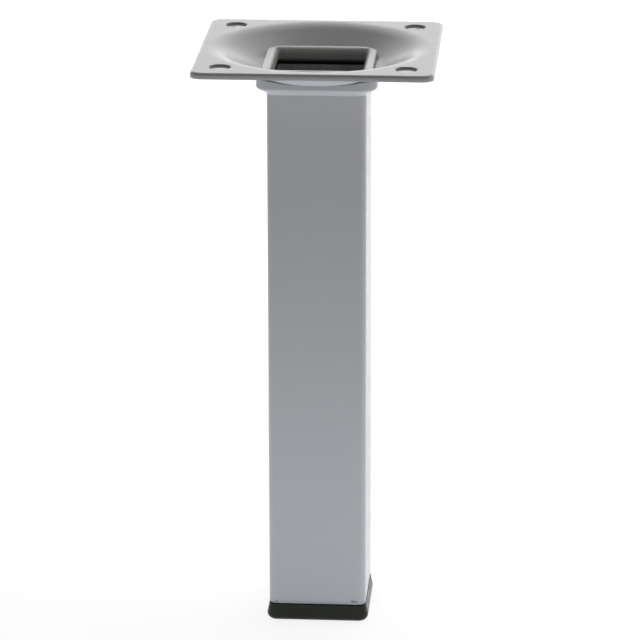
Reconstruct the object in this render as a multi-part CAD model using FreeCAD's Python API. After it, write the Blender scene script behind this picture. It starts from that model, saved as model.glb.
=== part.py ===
import FreeCAD, Part
import math
import os

from FreeCAD import Vector

# Fixed furniture leg in millimetres. It stands on the floor at z = 0 with its axis on Z,
# and the top face of its plate takes the furniture.

# Whole leg
leg_height = 150.0

# Square steel tube
tube_width = 25.0
tube_wall = 1.2
tube_inner_corner = 0.8
tube_end_round = 0.2

# Sheet steel plate with a screw hole near each corner
plate_width = 60.0
plate_sheet = 1.5
plate_corner = 3.0
plate_top_round = 0.8
screw_hole = 5.0
screw_hole_round = 0.5
screw_inset = 7.0

# Round dish pressed into the plate, sizes of its top face, slope in degrees
dish_depth = 4.8
dish_slope = 26.5
dish_floor_bend = 5.0
dish_rim_bend = 10.0
tube_hole_clearance = 0.1

# Bead pressed out of the tube, which carries the underside of the dish
bead_reach = 2.8
bead_height = 3.15
bead_nose = 1.5
bead_lean = 0.3
bead_wrap = 0.8
bead_seat = 2.5
bead_seat_gap = 0.5
bead_top_bend = 0.3
bead_nose_bend = 0.7
bead_root_bend = 0.5
bead_sheet = 0.7
crease_mouth = 0.3
crease_bend = 0.95

# Lip flared out of the tube over the dish, least at the tube's corners, so that the plate can't come off
lip_reach = 1.5
lip_corner_reach = 0.5
lip_edge = 0.9
lip_room = 0.2

# Plastic foot under the tube
foot_height = 4.7
foot_flare = 1.0
foot_low_round = 1.6
foot_top_round = 0.3
foot_floor = 3.0

# Hollow plug of the foot, with fins that grip the inside of the tube
plug_length = 18.0
plug_wall = 1.5
plug_corner = 0.8
fin_count = 4
fin_depth = 0.9
fin_thickness = 0.8
fin_clearance = 0.05

# Points closer than this are one point
same_point = 1e-6

# Sizes that follow from these
tube_half = tube_width / 2
tube_corner = tube_inner_corner + tube_wall
corner_axis = tube_half - tube_corner
tube_radius = corner_axis * math.sqrt(2) + tube_corner
bore_half = tube_half - tube_wall
slope = math.radians(dish_slope)
dish_floor = leg_height - dish_depth
dish_floor_radius = tube_half + bead_seat
bead_top = dish_floor - plate_sheet


def rounded_outline(corners):
    """Closed wire in the XZ plane through corners (x, z, radius), with an arc at each radius above 0."""
    points = [Vector(x, 0, z) for x, z, radius in corners]
    starts, arcs, finishes = [], [], []
    for index, (x, z, radius) in enumerate(corners):
        here = points[index]
        back = (points[index - 1] - here).normalize()
        ahead = (points[(index + 1) % len(points)] - here).normalize()
        half_angle = back.getAngle(ahead) / 2
        setback = radius / math.tan(half_angle)
        middle = here + (back + ahead).normalize() * (radius / math.sin(half_angle) - radius)
        starts.append(here + back * setback)
        finishes.append(here + ahead * setback)
        arcs.append(Part.Arc(starts[-1], middle, finishes[-1]).toShape() if radius else None)
    edges = []
    for index, arc in enumerate(arcs):
        if arc:
            edges.append(arc)
        following = starts[(index + 1) % len(starts)]
        if not finishes[index].isEqual(following, same_point):
            edges.append(Part.makeLine(finishes[index], following))
    return Part.Wire(edges)


def square_prism(half, radius, low, high):
    """Upright square prism of a half width, with rounded upright edges."""
    prism = Part.makeBox(2 * half, 2 * half, high - low, Vector(-half, -half, low))
    upright = [edge for edge in prism.Edges if abs(edge.tangentAt(edge.FirstParameter).z) > 0.5]
    return prism.makeFillet(radius, upright)


def round_the_square(section):
    """Solid that carries a section along the four sides of the tube and turns it at the corners."""
    side_section = section.translated(Vector(corner_axis, -corner_axis, 0))
    side = side_section.extrude(Vector(0, 2 * corner_axis, 0))
    pivot = Vector(corner_axis, corner_axis, 0)
    corner = section.translated(pivot).revolve(pivot, Vector(0, 0, 1), 90)
    pieces = [
        piece.rotated(Vector(0, 0, 0), Vector(0, 0, 1), 90 * turn)
        for turn in range(4)
        for piece in (side, corner)
    ]
    return pieces[0].fuse(pieces[1:]).removeSplitter()


def dish_height(radius, offset):
    """Height of the face parallel to the dish's floor and slope, an offset above them."""
    bend = dish_floor_bend - offset
    beyond = radius - dish_floor_radius
    bend_run = bend * math.sin(slope)
    if beyond <= 0:
        return dish_floor + offset
    if beyond <= bend_run:
        return dish_floor + offset + bend - math.sqrt(bend**2 - beyond**2)
    return dish_floor + offset + bend * (1 - math.cos(slope)) + (beyond - bend_run) * math.tan(slope)


def pressed_sheet():
    """Round sheet with the dish in it, wide enough to cut the plate from."""
    lean = math.tan(slope / 2)
    floor_corner = dish_floor_radius + dish_floor_bend * lean
    rim_corner = floor_corner + dish_depth / math.tan(slope)
    blank_radius = max(plate_width, rim_corner + dish_rim_bend)
    under_shift = plate_sheet * lean
    outline = rounded_outline([
        (0, dish_floor, 0),
        (floor_corner, dish_floor, dish_floor_bend),
        (rim_corner, leg_height, dish_rim_bend),
        (blank_radius, leg_height, 0),
        (blank_radius, leg_height - plate_sheet, 0),
        (rim_corner + under_shift, leg_height - plate_sheet, dish_rim_bend - plate_sheet),
        (floor_corner + under_shift, bead_top, dish_floor_bend + plate_sheet),
        (0, bead_top, 0),
    ])
    return Part.Face(outline).revolve(Vector(0, 0, 0), Vector(0, 0, 1), 360)


def plate_column():
    """Square column of the plate's outline, from under the dish to its rounded top edge."""
    column = square_prism(plate_width / 2, plate_corner, bead_top, leg_height)
    top_face = max(column.Faces, key=lambda face: face.CenterOfMass.z)
    return column.makeFillet(plate_top_round, top_face.Edges)


def screw_hole_form():
    """Form of one screw hole on the Z axis, with a rounded edge at the plate's top face."""
    radius = screw_hole / 2
    outline = rounded_outline([
        (0, bead_top, 0),
        (radius, bead_top, 0),
        (radius, leg_height, screw_hole_round),
        (radius + screw_hole_round, leg_height, 0),
        (radius + screw_hole_round, leg_height + plate_sheet, 0),
        (0, leg_height + plate_sheet, 0),
    ])
    return Part.Face(outline).revolve(Vector(0, 0, 0), Vector(0, 0, 1), 360)


def mounting_plate():
    """Plate with its dish, its square hole for the tube and its screw holes."""
    hole_half = tube_half + tube_hole_clearance
    cuts = [square_prism(hole_half, tube_corner + tube_hole_clearance, bead_top, leg_height)]
    screw_place = plate_width / 2 - screw_inset
    for side_x in (-1, 1):
        for side_y in (-1, 1):
            cuts.append(screw_hole_form().translated(Vector(side_x * screw_place, side_y * screw_place, 0)))
    return pressed_sheet().common(plate_column()).cut(cuts)


def room_over_bead():
    """Space above the bead, which carries the dish's floor and leaves a fine gap under its slope."""
    bend = dish_floor_bend + plate_sheet
    corner = dish_floor_radius + bead_seat_gap + bend * math.tan(slope / 2)
    outline = rounded_outline([
        (0, bead_top, 0),
        (corner, bead_top, bend),
        (corner + plate_sheet / math.tan(slope), dish_floor, 0),
        (0, dish_floor, 0),
    ])
    room = Part.Face(outline).revolve(Vector(0, 0, 0), Vector(0, 0, 1), 360)
    return room.cut(square_prism(tube_half, tube_corner, bead_top, dish_floor))


def leg_tube():
    """Tube with the bead below the plate and the lip above it."""
    lip_radius = tube_radius + lip_corner_reach
    edge_radius = lip_edge / 2
    lip_under = dish_height(lip_radius, lip_room)
    lip_top = lip_under + lip_edge
    flare_start = dish_height(tube_radius + tube_hole_clearance, 0)
    flare_bend = min(lip_under - flare_start, lip_reach - edge_radius)
    lip_out = tube_corner + lip_reach
    bead_out = tube_corner + bead_reach
    bead_high = bead_top + bead_wrap
    crease_top = bead_top - bead_sheet
    section = rounded_outline([
        (tube_inner_corner, foot_height, 0),
        (tube_corner, foot_height, tube_end_round),
        (tube_corner, bead_top - bead_height, bead_root_bend),
        (bead_out, bead_top - bead_nose, bead_nose_bend),
        (bead_out - bead_lean, bead_high, bead_top_bend),
        (tube_corner, bead_high, 0),
        (tube_corner, lip_under, flare_bend),
        (lip_out, lip_under, edge_radius),
        (lip_out, lip_top, edge_radius),
        (tube_inner_corner, lip_top, flare_bend + tube_wall),
        (tube_inner_corner, crease_top, crease_bend),
        (bead_out - bead_sheet, crease_top, 0),
        (tube_inner_corner, crease_top - crease_mouth, 0),
    ])
    shaped = round_the_square(Part.Face(section))
    lip_base = Vector(0, 0, dish_floor)
    beyond_lip = Part.makeCylinder(plate_width, dish_depth, lip_base)
    beyond_lip = beyond_lip.cut(Part.makeCylinder(lip_radius, dish_depth, lip_base))
    return shaped.cut([room_over_bead(), beyond_lip])


def foot_base():
    """Solid foot below the tube, which flares a little towards its rounded low edge."""
    section = rounded_outline([
        (0, 0, 0),
        (tube_corner + foot_flare, 0, foot_low_round),
        (tube_corner, foot_height, foot_top_round),
        (0, foot_height, 0),
    ])
    core_width = 2 * corner_axis
    core = Part.makeBox(core_width, core_width, foot_height, Vector(-corner_axis, -corner_axis, 0))
    return round_the_square(Part.Face(section)).fuse(core).removeSplitter()


def foot_cap():
    """Foot in one piece with the hollow plug that holds it in the tube."""
    fin_half = bore_half - fin_clearance
    plug_half = fin_half - fin_depth
    plug_top = foot_height + plug_length
    bodies = [square_prism(plug_half, plug_corner, foot_height, plug_top)]
    for number in range(1, fin_count + 1):
        fin_top = foot_height + plug_length * number / fin_count
        fin_corner = tube_inner_corner - fin_clearance
        bodies.append(square_prism(fin_half, fin_corner, fin_top - fin_thickness, fin_top))
    hollow = square_prism(plug_half - plug_wall, plug_corner, foot_floor, plug_top)
    return foot_base().fuse(bodies).cut(hollow).removeSplitter()


os.makedirs("parts", exist_ok=True)
for node in (mounting_plate, leg_tube, foot_cap):
    node().exportStep("parts/" + node.__name__ + ".step")
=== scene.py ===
import math

import bpy
from mathutils import Matrix, Vector


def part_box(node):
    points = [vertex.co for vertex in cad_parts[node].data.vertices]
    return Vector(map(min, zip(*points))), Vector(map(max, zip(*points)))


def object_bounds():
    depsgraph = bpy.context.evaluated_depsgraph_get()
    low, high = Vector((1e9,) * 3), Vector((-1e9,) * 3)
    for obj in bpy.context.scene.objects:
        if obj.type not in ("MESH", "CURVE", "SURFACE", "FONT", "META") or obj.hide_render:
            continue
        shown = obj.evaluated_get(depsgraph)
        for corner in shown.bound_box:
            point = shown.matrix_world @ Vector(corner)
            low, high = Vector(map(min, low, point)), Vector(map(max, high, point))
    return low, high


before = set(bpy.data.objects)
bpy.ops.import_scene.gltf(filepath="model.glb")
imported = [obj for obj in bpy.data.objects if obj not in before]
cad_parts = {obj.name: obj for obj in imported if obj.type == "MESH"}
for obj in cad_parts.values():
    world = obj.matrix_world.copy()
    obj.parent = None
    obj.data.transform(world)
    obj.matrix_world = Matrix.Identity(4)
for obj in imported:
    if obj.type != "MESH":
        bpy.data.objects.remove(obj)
cad_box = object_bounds()

# All lengths are in metres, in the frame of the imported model: z = 0 is the floor, the front faces -Y.
mm = 0.001

# Camera
camera_aim = Vector((0.0, 0.0, 78.0 * mm))
camera_distance = 1.0
camera_azimuth = math.radians(4.0)
camera_elevation = math.radians(17.4)
camera_roll = math.radians(-0.12)
camera_sensor = 36.0
camera_lens = 219.0

# Soft light at the back, to the right
key_azimuth = math.radians(26.0)
key_elevation = math.radians(29.0)
key_distance = 0.95
key_width = 2.6
key_height = 1.0
key_power = 10.6
key_colour = (1.0, 0.965, 0.955)

# Silver paint: its grey, the roughness of its sheen, its coat and its specular level
paint_grey = 0.53
paint_grey_spread = 0.03
paint_sheen = 0.21
paint_sheen_spread = 0.03
paint_coat = 0.05
coat_roughness = 0.15
paint_shine = 0.08

# Greys and shares of the edges, paler with wear and painted highlight, of the lip's crest, paler with
# painted highlight, and of the tube's low edge, darker with painted shade
worn_highlight_grey = 0.66
worn_highlight_share = 0.5
polished_smoothing = 0.06
crest_highlight_grey = 0.68
crest_highlight_share = 0.5
low_edge_shade_grey = 0.22
low_edge_shade_share = 0.45

# Strength and depth of the orange peel in the paint
peel_strength = 0.04
peel_depth = 0.05 * mm

# Edges that get wear and painted highlight, and how many rays look for a rounded edge
worn_highlight_edge = 0.5 * mm
edge_samples = 6

# Rounding that the paint shows on the edges of the plate and of the tube
plate_edge = 0.5 * mm
tube_edge = 0.15 * mm

# Greys of the bare steel inside the tube and in its chips, and of the painted shade in the crease
steel_dark = 0.34
steel_light = 0.50
chip_grey = 0.20
crease_shade_grey = 0.06

# Looks of the bare walls of the screw holes and of their rims, darkened with painted shade
bare_grey = 0.78
bare_metal = 0.7
bare_roughness = 0.38
hole_rim_shade_grey = 0.12
hole_rim_shade_share = 0.75

# Black plastic: its greys, its roughness, its specular level, its seam darkened with painted shade, its
# edges and its grain
plastic_dark = 0.010
plastic_light = 0.018
plastic_smooth = 0.22
plastic_rough = 0.32
plastic_shine = 0.2
seam_shade_grey = 0.002
seam_roughness = 0.95
plastic_edge = 0.12 * mm
grain_strength = 0.25
grain_depth = 0.03 * mm

# Sizes of the grain, as noise cells in a metre
flake_cells = 7000.0
peel_cells = 620.0
satin_cells = 180.0
wear_cells = 160.0
cloud_cells = 55.0
steel_cells = 260.0
ragged_cells = 900.0
chip_cells = 1500.0
plastic_grain_cells = 2600.0
plastic_satin_cells = 300.0
plastic_cloud_cells = 120.0

# Tints of the paint, of the bare steel inside and of the plastic
paint_tint = (0.99, 0.995, 1.015)
steel_tint = (0.99, 1.03, 0.98)
plastic_tint = (0.95, 1.15, 0.8)

# Floor: its half width, its gap under the object, its white, the painted pool of light where the floor
# glows to light the object with its strength, its colour, its share in the middle and the distances over
# which it fades, and the glow that whitens it for the camera, with its share near the object, where the
# shadow is kept
floor_half = 4.0
floor_gap = 0.1 * mm
floor_white = 0.92
floor_pool_glow = 1.27
floor_pool_glow_colour = (0.95, 1.0, 1.08, 1.0)
floor_pool_glow_close = 0.56
floor_pool_near = 0.11
floor_pool_far = 0.30
floor_glow = 1.2
floor_glow_share = 0.72

# Studio: its levels at the front and at the back, with the Y of the view direction where they begin,
# and its share overhead, with the Z of the view direction from which and up to which it falls
studio_front = 0.11
studio_back = 0.50
studio_front_y = -0.6
studio_back_y = 0.4
studio_overhead = 0.55
studio_low_z = 0.30
studio_high_z = 0.90

# Heights of the tube's ends: its low edge is darkened with painted shade, and its lip's crest is paled with
# painted highlight
tube_low, tube_high = (corner.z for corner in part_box("leg_tube"))
low_edge_shade_height = 1.3 * mm
lip_crest_highlight = tube_high - 0.5 * mm
lip_crest_highlight_fade = 0.4 * mm

# Height above which the foot is rough and darkened with painted shade, in the seam under the tube
foot_seam = tube_low - 0.2 * mm
foot_seam_fade = 0.15 * mm

# Screw holes, where the punch has left bare bright walls
hole_place = 23.0 * mm
hole_radius = 2.5 * mm
hole_bare_top = 149.2 * mm
hole_rim = 0.6 * mm
hole_rim_fade = 0.2 * mm

# Painted shade in the crease round the inside of the tube, where the bead is pressed out
crease_low = 142.7 * mm
crease_high = 144.0 * mm
crease_reach = 13.6 * mm
crease_fade = 0.6 * mm

# Chips in the paint at the front of the tube, as x, height above its low edge, half width and half height
chips = (
    (-10.5 * mm, 0.45 * mm, 0.6 * mm, 0.4 * mm),
    (9.6 * mm, 0.85 * mm, 1.3 * mm, 0.55 * mm),
)
chip_front = -11.0 * mm
chip_raggedness = 3.0

# Inner walls of the tube: how far their bare steel is ragged, and where it fades into the paint
inside_raggedness = 6.0 * mm
inside_start = -2.0 * mm
inside_full = -6.5 * mm


class Tree:
    """Shorthand for building a node tree."""

    def __init__(self, owner):
        owner.use_nodes = True
        self.nodes = owner.node_tree.nodes
        self.links = owner.node_tree.links
        self.nodes.clear()

    def add(self, kind, inputs=None, **settings):
        """Adds a node, sets its properties, and gives its inputs values or links."""
        made = self.nodes.new(kind)
        for name, value in settings.items():
            setattr(made, name, value)
        for name, value in (inputs or {}).items():
            socket = made.inputs[name]
            if isinstance(value, bpy.types.NodeSocket):
                self.links.new(value, socket)
            else:
                socket.default_value = value
        return made

    def math(self, operation, first, second=0.0, third=0.0):
        """Result of one arithmetic step."""
        made = self.add("ShaderNodeMath", {0: first, 1: second, 2: third}, operation=operation)
        return made.outputs[0]

    def step(self, value, low, high, low_to=0.0, high_to=1.0):
        """Smooth step from low_to, where the value is low, to high_to, where it is high."""
        inputs = {"Value": value, "From Min": low, "From Max": high, "To Min": low_to, "To Max": high_to}
        made = self.add("ShaderNodeMapRange", inputs, interpolation_type="SMOOTHSTEP")
        return made.outputs["Result"]

    def blend(self, factor, first, second):
        """Colour between two colours."""
        made = self.add("ShaderNodeMix", {"Factor": factor}, data_type="RGBA")
        for name, value in (("A", first), ("B", second)):
            socket = next(s for s in made.inputs if s.name == name and s.type == "RGBA")
            if isinstance(value, bpy.types.NodeSocket):
                self.links.new(value, socket)
            else:
                socket.default_value = value
        return next(s for s in made.outputs if s.type == "RGBA")

    def bump(self, height, strength, distance, normal):
        """Normal of a surface with fine relief."""
        inputs = {"Height": height, "Strength": strength, "Distance": distance, "Normal": normal}
        return self.add("ShaderNodeBump", inputs).outputs["Normal"]

    def mix(self, factor, first, second):
        """Shader between two shaders."""
        return self.add("ShaderNodeMixShader", {"Fac": factor, 1: first, 2: second}).outputs["Shader"]

    def noise(self, place, scale, detail=2.0, roughness=0.5):
        """Noise value round 0.5."""
        inputs = {"Vector": place, "Scale": scale, "Detail": detail, "Roughness": roughness}
        return self.add("ShaderNodeTexNoise", inputs).outputs["Fac"]


def grey(level, tint=(1.0, 1.0, 1.0)):
    """Opaque colour of one level, with a slight tint."""
    return (level * tint[0], level * tint[1], level * tint[2], 1.0)


def new_material(name):
    material = bpy.data.materials.new(name)
    return material, Tree(material)


def paint_bump(tree, place, edge):
    """Orange peel of the sprayed paint over edges that the paint has rounded."""
    rounded = tree.add("ShaderNodeBevel", {"Radius": edge}, samples=edge_samples).outputs["Normal"]
    peel = tree.noise(place, peel_cells)
    return tree.bump(peel, peel_strength, peel_depth, rounded)


def edge_wear_and_highlight(tree, place):
    """Up to 1 in the broken patches on the edges, which are paler with wear and with painted highlight."""
    rounded = tree.add("ShaderNodeBevel", {"Radius": worn_highlight_edge}, samples=edge_samples).outputs["Normal"]
    facing = tree.add("ShaderNodeNewGeometry").outputs["Normal"]
    agree = tree.add("ShaderNodeVectorMath", {0: rounded, 1: facing}, operation="DOT_PRODUCT")
    patches = tree.step(tree.noise(place, wear_cells, 4.0, 0.6), 0.40, 0.62)
    return tree.math("MULTIPLY", tree.step(agree.outputs["Value"], 0.97, 0.85), patches)


def silver_paint(tree, place):
    """Colour and roughness of the silver paint: fine flakes, a faint cloudiness and edges that are polished
    by wear and paled with painted highlight.
    """
    flakes = tree.add("ShaderNodeTexVoronoi", {"Vector": place, "Scale": flake_cells})
    flake = tree.add("ShaderNodeSeparateColor", {"Color": flakes.outputs["Color"]}).outputs["Red"]
    cloud = tree.noise(place, cloud_cells, 3.0)
    level = tree.math("ADD", tree.math("MULTIPLY", flake, 0.5), tree.math("MULTIPLY", cloud, 0.5))
    dark = grey((1 - paint_grey_spread) * paint_grey, paint_tint)
    light = grey((1 + paint_grey_spread) * paint_grey, paint_tint)
    colour = tree.blend(level, dark, light)
    # Edges paler with wear and with painted highlight
    worn_and_highlit = edge_wear_and_highlight(tree, place)
    worn_highlight = tree.math("MULTIPLY", worn_and_highlit, worn_highlight_share)
    colour = tree.blend(worn_highlight, colour, grey(worn_highlight_grey, paint_tint))
    smooth = paint_sheen - paint_sheen_spread
    rough = paint_sheen + paint_sheen_spread
    satin = tree.step(tree.noise(place, satin_cells, 3.0), 0.3, 0.7, smooth, rough)
    roughness = tree.math("SUBTRACT", satin, tree.math("MULTIPLY", worn_and_highlit, polished_smoothing))
    return colour, roughness


def finish_surface(tree, colour, roughness, metal, normal, shine, coat=0.0):
    inputs = {"Base Color": colour, "Metallic": metal, "Roughness": roughness, "Normal": normal,
              "Specular IOR Level": shine, "Coat Weight": coat, "Coat Roughness": coat_roughness}
    surface = tree.add("ShaderNodeBsdfPrincipled", inputs)
    tree.add("ShaderNodeOutputMaterial", {"Surface": surface.outputs["BSDF"]})


def plate_material():
    """Painted steel plate, with bare steel in its screw holes."""
    material, tree = new_material("plate_silver_paint")
    place = tree.add("ShaderNodeTexCoord").outputs["Object"]
    colour, roughness = silver_paint(tree, place)
    bare, rim = hole_masks(tree, place)
    # Painted shade on the rims of the screw holes
    colour = tree.blend(tree.math("MULTIPLY", rim, hole_rim_shade_share), colour, grey(hole_rim_shade_grey))
    colour = tree.blend(bare, colour, grey(bare_grey))
    metal = tree.step(bare, 0.0, 1.0, 0.0, bare_metal)
    roughness = tree.step(bare, 0.0, 1.0, roughness, bare_roughness)
    relief = paint_bump(tree, place, plate_edge)
    finish_surface(tree, colour, roughness, metal, relief, paint_shine, paint_coat)
    return material


def hole_masks(tree, place):
    """1 on the bare walls of the four screw holes, and 1 on their rims, which get painted shade."""
    axis = tree.add("ShaderNodeSeparateXYZ", {"Vector": place}).outputs
    squares = []
    for name in ("X", "Y"):
        across = tree.math("SUBTRACT", tree.math("ABSOLUTE", axis[name]), hole_place)
        squares.append(tree.math("POWER", across, 2.0))
    apart = tree.math("SQRT", tree.math("ADD", squares[0], squares[1]))
    uneven = tree.math("MULTIPLY", tree.noise(place, ragged_cells, 3.0), hole_rim_fade)
    uneven = tree.math("ADD", apart, uneven)
    rim_end = hole_radius + hole_rim
    rim = tree.step(uneven, rim_end, rim_end - hole_rim_fade)
    half_fade = hole_rim_fade / 2
    low = tree.step(axis["Z"], hole_bare_top + half_fade, hole_bare_top - half_fade)
    return tree.math("MULTIPLY", rim, low), rim


def tube_material():
    """Painted steel tube, with a bare dark inside."""
    material, tree = new_material("tube_silver_paint")
    place = tree.add("ShaderNodeTexCoord").outputs["Object"]
    colour, roughness = silver_paint(tree, place)
    inside = inside_mask(tree, place)
    height = tree.add("ShaderNodeSeparateXYZ", {"Vector": place}).outputs["Z"]
    # Painted highlight: the lip's crest is paler
    crest_highlight = tree.step(height, lip_crest_highlight, lip_crest_highlight + lip_crest_highlight_fade)
    crest_highlight = tree.math("MULTIPLY", crest_highlight, crest_highlight_share)
    colour = tree.blend(crest_highlight, colour, grey(crest_highlight_grey, paint_tint))
    # Painted shade: the tube is darker just above its low edge, by the foot
    low_edge_shade = tree.step(height, tube_low, tube_low + low_edge_shade_height, low_edge_shade_share, 0.0)
    colour = tree.blend(low_edge_shade, colour, grey(low_edge_shade_grey, paint_tint))
    mottle = tree.noise(place, steel_cells, 4.0)
    steel = tree.blend(mottle, grey(steel_dark, steel_tint), grey(steel_light, steel_tint))
    colour = tree.blend(inside, colour, steel)
    colour = tree.blend(chip_mask(tree, place), colour, grey(chip_grey, steel_tint))
    # Painted shade in the crease
    colour = tree.blend(crease_shade_mask(tree, place), colour, grey(crease_shade_grey, steel_tint))
    relief = paint_bump(tree, place, tube_edge)
    finish_surface(tree, colour, roughness, 0.0, relief, paint_shine, paint_coat)
    return material


def crease_shade_mask(tree, place):
    """1 in the crease round the inside, which gets painted shade, with a soft upper edge."""
    axis = tree.add("ShaderNodeSeparateXYZ", {"Vector": place}).outputs
    reach = tree.math("MAXIMUM", tree.math("ABSOLUTE", axis["X"]), tree.math("ABSOLUTE", axis["Y"]))
    within = tree.step(reach, crease_reach + 0.1 * mm, crease_reach)
    above = tree.step(axis["Z"], crease_low - 0.15 * mm, crease_low)
    below = tree.step(axis["Z"], crease_high + crease_fade, crease_high - crease_fade)
    return tree.math("MULTIPLY", within, tree.math("MULTIPLY", above, below))


def chip_mask(tree, place):
    """1 in the small chips at the tube's low edge."""
    axis = tree.add("ShaderNodeSeparateXYZ", {"Vector": place}).outputs
    ragged = tree.math("MULTIPLY", tree.noise(place, chip_cells, 3.0, 0.7), chip_raggedness)
    front = tree.step(axis["Y"], chip_front, chip_front - 0.5 * mm)
    above = tree.math("SUBTRACT", axis["Z"], tube_low)
    total = 0.0
    for x, height, half_width, half_height in chips:
        along = tree.math("DIVIDE", tree.math("SUBTRACT", axis["X"], x), half_width)
        up = tree.math("DIVIDE", tree.math("SUBTRACT", above, height), half_height)
        apart = tree.math("ADD", tree.math("POWER", along, 2.0), tree.math("POWER", up, 2.0))
        spot = tree.step(tree.math("ADD", apart, ragged), 2.4, 1.4)
        total = tree.math("MAXIMUM", total, spot)
    return tree.math("MULTIPLY", total, front)


def inside_mask(tree, place):
    """1 on the inner walls below the lip, 0 on the painted outside."""
    axis = tree.add("ShaderNodeSeparateXYZ", {"Vector": place})
    facing = tree.add("ShaderNodeNewGeometry").outputs["True Normal"]
    aim = tree.add("ShaderNodeSeparateXYZ", {"Vector": facing})
    along_x = tree.math("MULTIPLY", axis.outputs["X"], aim.outputs["X"])
    along_y = tree.math("MULTIPLY", axis.outputs["Y"], aim.outputs["Y"])
    outward = tree.math("ADD", along_x, along_y)
    ragged = tree.math("MULTIPLY", tree.noise(place, ragged_cells, 4.0, 0.6), inside_raggedness)
    return tree.step(tree.math("ADD", outward, ragged), inside_start, inside_full)


def foot_material():
    """Moulded black plastic with a fine texture."""
    material, tree = new_material("foot_black_plastic")
    place = tree.add("ShaderNodeTexCoord").outputs["Object"]
    rounded = tree.add("ShaderNodeBevel", {"Radius": plastic_edge}, samples=edge_samples).outputs["Normal"]
    grain = tree.noise(place, plastic_grain_cells, 3.0)
    relief = tree.bump(grain, grain_strength, grain_depth, rounded)
    cloud = tree.noise(place, plastic_cloud_cells, 3.0)
    colour = tree.blend(cloud, grey(plastic_dark, plastic_tint), grey(plastic_light, plastic_tint))
    satin = tree.noise(place, plastic_satin_cells)
    roughness = tree.step(satin, 0.3, 0.7, plastic_smooth, plastic_rough)
    height = tree.add("ShaderNodeSeparateXYZ", {"Vector": place}).outputs["Z"]
    # Painted shade in the seam under the tube, which is also made rough
    seam_shade = tree.step(height, foot_seam - foot_seam_fade, foot_seam)
    colour = tree.blend(seam_shade, colour, grey(seam_shade_grey))
    roughness = tree.step(seam_shade, 0.0, 1.0, roughness, seam_roughness)
    finish_surface(tree, colour, roughness, 0.0, relief, plastic_shine)
    return material


def seen_white(tree):
    """1 for the rays that see the background: from the camera, in a reflection or through glass."""
    path = tree.add("ShaderNodeLightPath").outputs
    either = tree.math("MAXIMUM", path["Is Camera Ray"], path["Is Glossy Ray"])
    return tree.math("MAXIMUM", either, path["Is Transmission Ray"])


def floor_material():
    """White floor with a painted pool of glowing light round the object that lights it, that keeps a faint
    shadow and is clear from below.
    """
    material, tree = new_material("studio_floor")
    place = tree.add("ShaderNodeTexCoord").outputs["Object"]
    reach = tree.add("ShaderNodeVectorMath", {0: place}, operation="LENGTH").outputs["Value"]
    # Painted light: the floor glows in a pool round the object and lights it
    pool = tree.step(reach, floor_pool_near, floor_pool_far, floor_pool_glow, 0.0)
    pool = tree.math("MULTIPLY", pool, tree.step(reach, 0.0, floor_pool_near, floor_pool_glow_close, 1.0))
    pool_glow = tree.add("ShaderNodeEmission", {"Color": floor_pool_glow_colour, "Strength": pool}).outputs["Emission"]
    matte = tree.add("ShaderNodeBsdfDiffuse", {"Color": grey(floor_white)}).outputs["BSDF"]
    matte_and_pool_glow = tree.add("ShaderNodeAddShader", {0: matte, 1: pool_glow}).outputs["Shader"]
    glow = tree.add("ShaderNodeEmission", {"Color": grey(1.0), "Strength": floor_glow}).outputs["Emission"]
    share = tree.step(reach, floor_pool_near, floor_pool_far, floor_glow_share, 1.0)
    seen = tree.mix(seen_white(tree), matte_and_pool_glow, tree.mix(share, matte, glow))
    below = tree.add("ShaderNodeNewGeometry").outputs["Backfacing"]
    clear = tree.add("ShaderNodeBsdfTransparent").outputs["BSDF"]
    tree.add("ShaderNodeOutputMaterial", {"Surface": tree.mix(below, seen, clear)})
    return material


def make_floor():
    corners = [(-floor_half, -floor_half, 0), (floor_half, -floor_half, 0),
               (floor_half, floor_half, 0), (-floor_half, floor_half, 0)]
    mesh = bpy.data.meshes.new("floor")
    mesh.from_pydata(corners, [], [(0, 1, 2, 3)])
    mesh.materials.append(floor_material())
    floor = bpy.data.objects.new("floor", mesh)
    floor.location.z = cad_box[0].z - floor_gap
    bpy.context.scene.collection.objects.link(floor)


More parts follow.
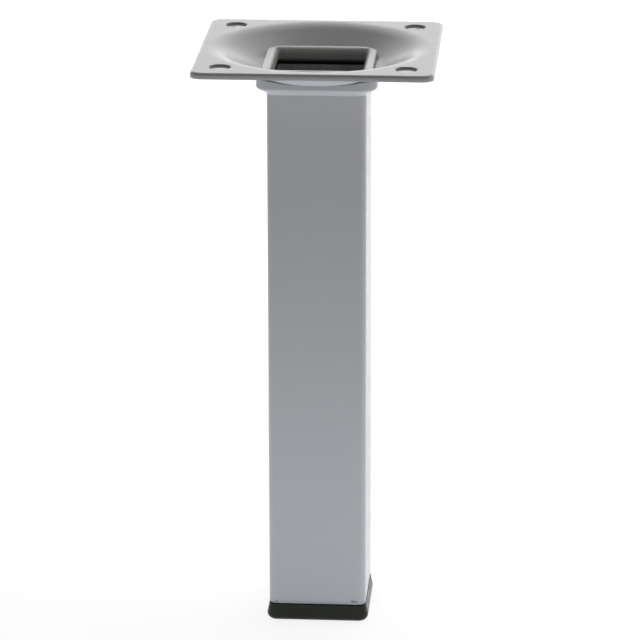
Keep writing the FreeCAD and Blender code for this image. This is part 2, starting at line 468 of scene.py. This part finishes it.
def make_world():
    """Dim studio, lighter at the back and round the horizon, on a white background."""
    world = bpy.data.worlds.new("studio")
    bpy.context.scene.world = world
    tree = Tree(world)
    place = tree.add("ShaderNodeTexCoord").outputs["Generated"]
    way = tree.add("ShaderNodeSeparateXYZ", {"Vector": place}).outputs
    height = tree.step(way["Z"], studio_low_z, studio_high_z, 1.0, studio_overhead)
    back = tree.step(way["Y"], studio_front_y, studio_back_y, studio_front, studio_back)
    level = tree.math("MULTIPLY", height, back)
    studio = tree.add("ShaderNodeBackground", {"Color": grey(1.0), "Strength": level}).outputs["Background"]
    white = tree.add("ShaderNodeBackground", {"Color": grey(1.0), "Strength": 1.0}).outputs["Background"]
    tree.add("ShaderNodeOutputWorld", {"Surface": tree.mix(seen_white(tree), studio, white)})


def direction(azimuth, elevation):
    """Unit vector; azimuth 0 is the front, -Y, and turns towards +X."""
    flat = math.cos(elevation)
    return Vector((math.sin(azimuth) * flat, -math.cos(azimuth) * flat, math.sin(elevation)))


def make_key_light():
    """Large soft light behind the object, so that its front is lit by the floor."""
    data = bpy.data.lights.new("key", "AREA")
    data.shape = "RECTANGLE"
    data.size = key_width
    data.size_y = key_height
    data.energy = key_power
    data.color = key_colour
    lamp = bpy.data.objects.new("key", data)
    towards = direction(math.pi - key_azimuth, key_elevation)
    lamp.location = camera_aim + towards * key_distance
    lamp.rotation_euler = towards.to_track_quat("Z", "Y").to_euler()
    bpy.context.scene.collection.objects.link(lamp)


def make_camera():
    data = bpy.data.cameras.new("camera")
    data.sensor_width = camera_sensor
    data.lens = camera_lens
    camera = bpy.data.objects.new("camera", data)
    back = direction(camera_azimuth, camera_elevation)
    camera.location = camera_aim + back * camera_distance
    level = (-back).to_track_quat("-Z", "Y").to_matrix()
    camera.rotation_euler = (level @ Matrix.Rotation(camera_roll, 3, "Z")).to_euler()
    bpy.context.scene.collection.objects.link(camera)
    bpy.context.scene.camera = camera


def dress(node, material):
    """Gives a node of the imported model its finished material."""
    node.data.materials.clear()
    node.data.materials.append(material)


dress(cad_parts["mounting_plate"], plate_material())
dress(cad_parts["leg_tube"], tube_material())
dress(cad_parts["foot_cap"], foot_material())
make_floor()
make_world()
make_key_light()
make_camera()
bpy.context.scene.view_settings.view_transform = "Standard"
